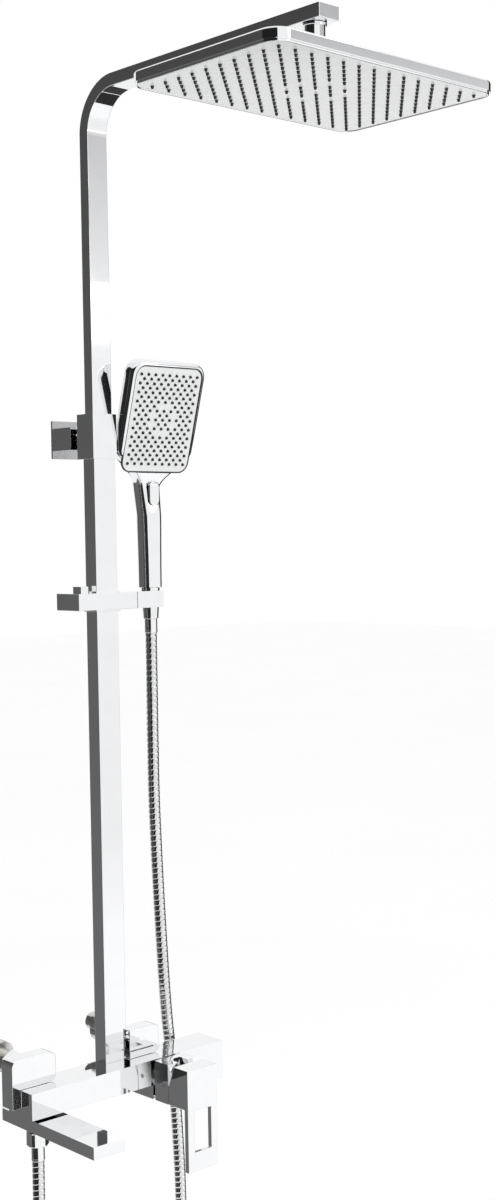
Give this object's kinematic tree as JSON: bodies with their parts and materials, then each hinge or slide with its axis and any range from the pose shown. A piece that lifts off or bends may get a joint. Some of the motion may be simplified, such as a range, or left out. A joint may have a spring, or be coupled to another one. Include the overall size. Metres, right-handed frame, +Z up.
{
  "type": "rainfall shower column",
  "caption": "Wall-mounted square-section shower column with lever mixer, swivel spout, telescopic riser, rectangular overhead shower, sliding handset holder and hose.",
  "frame": {"origin": "on the wall plane, midway between the two inlets, at the height of the inlets", "axes": "+Z up, +X along the wall to the right as seen from the room, +Y into the wall, so the room is towards -Y"},
  "size_m": [0.3084, 0.5365, 1.5721],
  "materials": {
    "chrome": "polished chrome plate",
    "chromed_plastic": "polished chrome plate on moulded plastic",
    "brass": "bare machined brass",
    "steel": "plain stainless steel",
    "spray_face": "pale satin plastic",
    "nozzle_silicone": "soft dark silicone",
    "seal_rubber": "black rubber",
    "black_plastic": "moulded black plastic",
    "hose_steel": "wound polished stainless strip"
  },
  "bodies": {
    "mixer": {"left_inlet_union": "brass", "right_inlet_union": "brass", "left_union_nut": "chrome", "right_union_nut": "chrome", "left_inlet_seal": "seal_rubber", "right_inlet_seal": "seal_rubber", "left_inlet_shroud": "chromed_plastic", "right_inlet_shroud": "chromed_plastic", "mixer_body": "chrome", "cartridge": "black_plastic", "cartridge_nut": "brass", "lower_riser": "chrome", "riser_clamp": "chrome", "clamp_screw": "steel", "bracket_rod": "steel", "bracket_boss": "chrome", "bracket_box": "chrome", "bracket_set_screw": "steel", "wall_plate": "steel", "spout_pivot": "brass", "spout_washer": "black_plastic", "spout_retainer": "chrome", "hose_outlet_nut": "chrome", "hose_outlet_ferrule": "chrome", "shower_hose": "hose_steel"},
    "lever_base": {"lever_housing": "chrome", "cartridge_stem": "brass", "lever_pin": "steel"},
    "lever_handle": {"lever": "chrome"},
    "spout": {"spout": "chrome", "aerator": "spray_face"},
    "arm": {"upper_riser_arm": "chrome", "arm_end_cap": "chrome", "arm_nipple": "chrome", "arm_ring_nut": "chrome"},
    "ball_seat": {"ball_seat": "spray_face"},
    "ball_cup": {"ball_cup": "chrome"},
    "overhead": {"head_shell": "chrome", "head_face": "spray_face", "head_nozzle_mat": "nozzle_silicone"},
    "slider": {"slider_body": "chromed_plastic", "slider_sleeve": "chromed_plastic", "holder_pin": "steel"},
    "slider_button": {"slider_button": "chromed_plastic"},
    "holder": {"handset_holder": "chromed_plastic"},
    "handset": {"handset_shell": "chromed_plastic", "handset_face": "spray_face", "handset_nozzle_mat": "nozzle_silicone", "handset_connector": "brass", "hose_cone_nut": "chrome", "hose_handset_ferrule": "chrome"},
    "handset_button": {"handset_button": "chromed_plastic"}
  },
  "joints": [
    {"name": "lever_swivel", "type": "hinge", "parent": "mixer", "child": "lever_base", "pos_m": [0.09965, -0.1025, -0.03988], "axis": [0, -1, 0], "range_deg": [-45, 45]},
    {"name": "lever_lift", "type": "hinge", "parent": "lever_base", "child": "lever_handle", "pos_m": [0.09965, -0.1186, -0.03988], "axis": [-1, 0, 0], "range_deg": [0, 20]},
    {"name": "spout_swivel", "type": "hinge", "parent": "mixer", "child": "spout", "pos_m": [-0.068, -0.072, -0.05535], "axis": [0, 0, 1], "range_deg": [-60, 60]},
    {"name": "riser_telescope", "type": "slide", "parent": "mixer", "child": "arm", "axis": [0, 0, 1], "range_m": [-0.2, 0.15]},
    {"name": "head_tilt_front", "type": "hinge", "parent": "arm", "child": "ball_seat", "pos_m": [0.04507, -0.419, 1.054], "axis": [1, 0, 0], "range_deg": [-10, 10]},
    {"name": "head_tilt_side", "type": "hinge", "parent": "ball_seat", "child": "ball_cup", "pos_m": [0.04507, -0.419, 1.054], "axis": [0, 1, 0], "range_deg": [-10, 10]},
    {"name": "head_turn", "type": "hinge", "parent": "ball_cup", "child": "overhead", "pos_m": [0.04507, -0.419, 1.054], "axis": [0, 0, 1], "range_deg": [-90, 90]},
    {"name": "slider_slide", "type": "slide", "parent": "mixer", "child": "slider", "axis": [0, 0, 1], "range_m": [-0.3, 0.13], "deforming": ["shower_hose"]},
    {"name": "slider_release", "type": "slide", "parent": "slider", "child": "slider_button", "axis": [0, 0, -1], "range_m": [0, 0.0025], "stiffness_N_per_m": 400},
    {"name": "holder_tilt", "type": "hinge", "parent": "slider", "child": "holder", "pos_m": [0.0867, -0.06, 0.51655], "axis": [1, 0, 0], "range_deg": [-5, 25], "deforming": ["shower_hose"]},
    {"name": "handset_lift", "type": "slide", "parent": "holder", "child": "handset", "axis": [0, 0, 1], "range_m": [0, 0.06], "deforming": ["shower_hose"]},
    {"name": "spray_button", "type": "slide", "parent": "handset", "child": "handset_button", "axis": [0, 1, 0], "range_m": [0, 0.002], "stiffness_N_per_m": 400}
  ]
}
